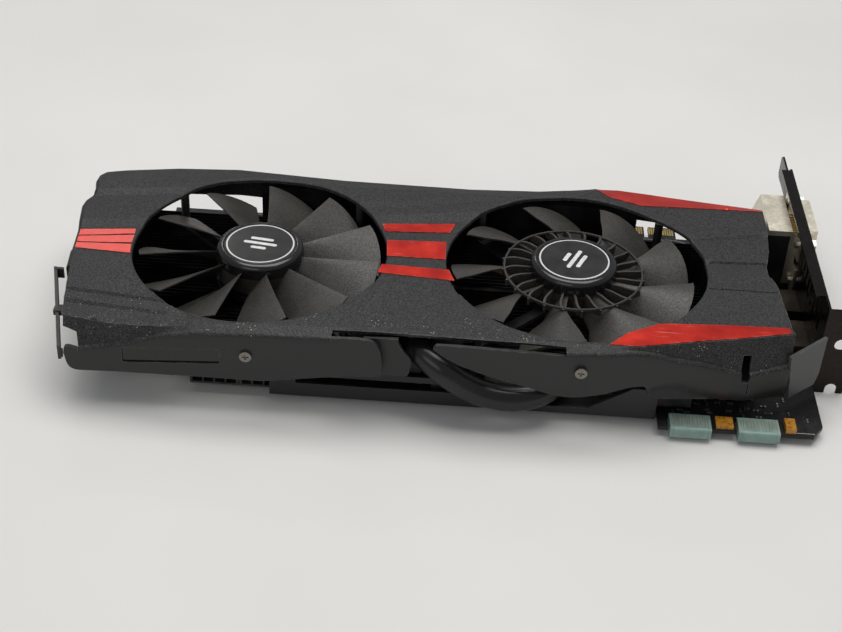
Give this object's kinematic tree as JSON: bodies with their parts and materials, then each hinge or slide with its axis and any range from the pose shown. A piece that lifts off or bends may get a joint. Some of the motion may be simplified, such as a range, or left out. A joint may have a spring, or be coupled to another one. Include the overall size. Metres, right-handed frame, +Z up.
{
  "type": "graphics card",
  "caption": "Dual-fan graphics card lying on its back: board, finned heatsink with heat pipes, dark shroud with red strips, slot bracket and display sockets.",
  "frame": {"origin": "centre of the bounding box at the lowest face, the back of the card", "axes": "+X along the card to the bracket end, +Y towards the edge connector, +Z up out of the fans"},
  "size_m": [0.3004, 0.1577, 0.04],
  "materials": {
    "board_mask": "dark solder mask, satin",
    "gold_plate": "gold-plated contacts",
    "silicone": "soft translucent grey-green silicone",
    "black_sheet": "black powder-coated steel",
    "shroud_paint": "fine-textured black paint with a slight sparkle",
    "red_paint": "red satin foil finish",
    "nickel": "dull nickel plate",
    "black_nickel": "dark glossy nickel plate",
    "champagne": "warm nickel-plated steel shell",
    "brass_part": "plain brass",
    "screw_steel": "nickel-plated steel screws",
    "black_plastic": "black moulded nylon",
    "chip_epoxy": "matt black epoxy",
    "substrate_green": "green laminate",
    "silicon": "polished silicon",
    "choke_alloy": "pressed metal powder",
    "amber_part": "amber resin",
    "copper": "bare copper",
    "black_pipe": "black gloss-plated copper pipe",
    "fin_black": "black-plated aluminium",
    "fan_plastic": "dark grey fibre-filled plastic",
    "disc_print": "glossy black label",
    "winding": "enamelled copper windings",
    "bronze": "sintered bronze",
    "shaft_steel": "ground steel",
    "ferrite": "dark magnet in a steel band",
    "header_nylon": "natural nylon",
    "lead_sleeve": "black sleeving"
  },
  "bodies": {
    "card": {"circuit_board": "board_mask", "edge_contacts": "gold_plate", "link_contacts": "gold_plate", "backplate": "black_sheet", "backplate_spacers": "brass_part", "backplate_screws": "black_sheet", "stiffener_rail": "black_sheet", "gpu_substrate": "substrate_green", "gpu_die": "silicon", "memory_chips": "chip_epoxy", "regulator_chips": "chip_epoxy", "chokes": "choke_alloy", "regulator_heatsink": "fin_black", "can_capacitors": "choke_alloy", "edge_blocks": "amber_part", "crystal_and_chips": "chip_epoxy", "power_socket_8": "black_plastic", "power_socket_6": "black_plastic", "power_pins": "gold_plate", "fan_header": "header_nylon", "dvi_stack_body": "black_plastic", "dvi_shells": "champagne", "dvi_contacts": "gold_plate", "hex_posts": "nickel", "hdmi_socket": "nickel", "display_socket": "nickel", "io_tongues": "black_plastic", "bracket": "black_nickel", "bracket_screws": "screw_steel", "heatsink_base": "copper", "wide_heat_pipe": "black_pipe", "heat_pipes": "black_pipe", "fin_stack_far": "fin_black", "fin_stack_near": "fin_black", "fin_tops_far": "fin_black", "fin_tops_near": "fin_black", "spring_screws": "screw_steel", "clamp_springs": "shaft_steel", "shroud": "shroud_paint", "end_rib": "black_sheet", "accent_strips": "red_paint", "blank_nameplate": "black_sheet", "shroud_screws": "screw_steel", "fan_frame_far": "fan_plastic", "fan_frame_near": "fan_plastic", "fan_screws": "screw_steel", "stators": "winding", "bearings": "bronze", "fan_lead_far": "lead_sleeve", "fan_lead_near": "lead_sleeve"},
    "fan_far": {"rotor_far": "fan_plastic", "shaft_far": "shaft_steel", "magnet_far": "ferrite", "hub_disc_far": "disc_print"},
    "fan_near": {"rotor_near": "fan_plastic", "shaft_near": "shaft_steel", "magnet_near": "ferrite", "hub_disc_near": "disc_print"},
    "cap_a": {"link_cap_a": "silicone"},
    "cap_b": {"link_cap_b": "silicone"}
  },
  "joints": [
    {"name": "fan_far_spin", "type": "hinge", "parent": "card", "child": "fan_far", "pos_m": [-0.07601, -0.02101, 0.03], "axis": [0, 0, 1], "continuous": true},
    {"name": "fan_near_spin", "type": "hinge", "parent": "card", "child": "fan_near", "pos_m": [0.04408, -0.02101, 0.03], "axis": [0, 0, 1], "continuous": true},
    {"name": "cap_a_pull", "type": "slide", "parent": "card", "child": "cap_a", "axis": [0, -1, 0], "range_m": [0, 0.007]},
    {"name": "cap_b_pull", "type": "slide", "parent": "card", "child": "cap_b", "axis": [0, -1, 0], "range_m": [0, 0.007]}
  ]
}
